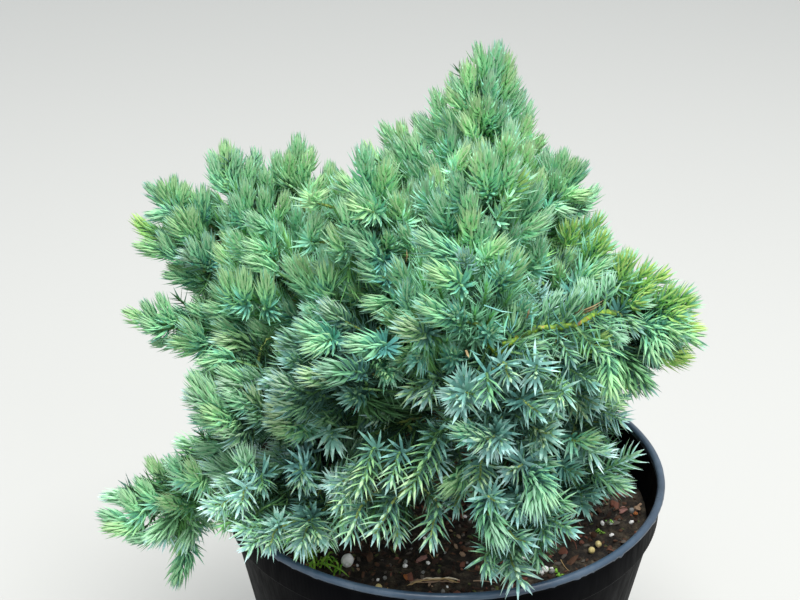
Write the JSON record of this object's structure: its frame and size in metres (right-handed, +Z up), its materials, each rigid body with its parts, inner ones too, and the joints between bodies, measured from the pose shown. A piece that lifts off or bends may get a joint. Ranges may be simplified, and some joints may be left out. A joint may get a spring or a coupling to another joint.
{
  "type": "potted blue star juniper",
  "caption": "Dwarf conifer with dense blue-green foliage masses on fanned boughs and a short flared stem, growing in a tapered black plastic nursery pot with compost.",
  "frame": {"origin": "middle of the pot's flat underside", "axes": "+Z up along the pot's axis; +X to the right and -Y to the front, as the picture sees the plant"},
  "size_m": [0.2275, 0.2158, 0.2881],
  "materials": {
    "pot": "black blow-moulded plastic, low sheen, fine vertical ribs",
    "compost": "moist dark bark compost",
    "bark": "rough brown scaly bark",
    "foliage": "dense blue-green needles"
  },
  "bodies": {
    "root": {"pot": "pot", "soil": "compost", "stem": "bark", "bough_leader": "bark", "bough_centre": "bark", "bough_centre_front": "bark", "bough_front": "bark", "bough_front_left": "bark", "bough_left_crest": "bark", "bough_left": "bark", "bough_left_middle": "bark", "bough_upper_left": "bark", "bough_low_left": "bark", "bough_right": "bark", "bough_right_outer": "bark", "bough_right_low": "bark", "bough_back": "bark", "bough_back_left": "bark", "bough_back_right": "bark", "bough_back_low": "bark", "mass_top_spire": "foliage", "mass_top_left": "foliage", "mass_top_right": "foliage", "mass_centre_crest": "foliage", "mass_left_crest": "foliage", "mass_upper_right": "foliage", "mass_centre_breast": "foliage", "mass_right_breast": "foliage", "mass_right_shoulder": "foliage", "mass_right_outer": "foliage", "mass_right_lower": "foliage", "mass_right_spray": "foliage", "mass_front_centre": "foliage", "mass_front_droop": "foliage", "mass_front_left_low": "foliage", "mass_left_front": "foliage", "mass_left_middle": "foliage", "mass_left_tongue": "foliage", "mass_upper_left_outer": "foliage", "mass_upper_left_far": "foliage", "mass_upper_left_peak": "foliage", "mass_upper_left_breast": "foliage", "mass_low_left_root": "foliage", "mass_low_left_run": "foliage", "mass_low_left_tip": "foliage", "mass_low_left_droop": "foliage", "mass_low_left_front": "foliage", "mass_low_left_hang": "foliage", "mass_back_crest": "foliage", "mass_back_left": "foliage", "mass_back_right": "foliage", "mass_back_low": "foliage", "mass_right_back": "foliage", "mass_left_back_low": "foliage", "mass_back_left_low": "foliage", "mass_back_right_low": "foliage", "mass_back_left_upper": "foliage", "mass_back_right_upper": "foliage"}
  },
  "joints": []
}
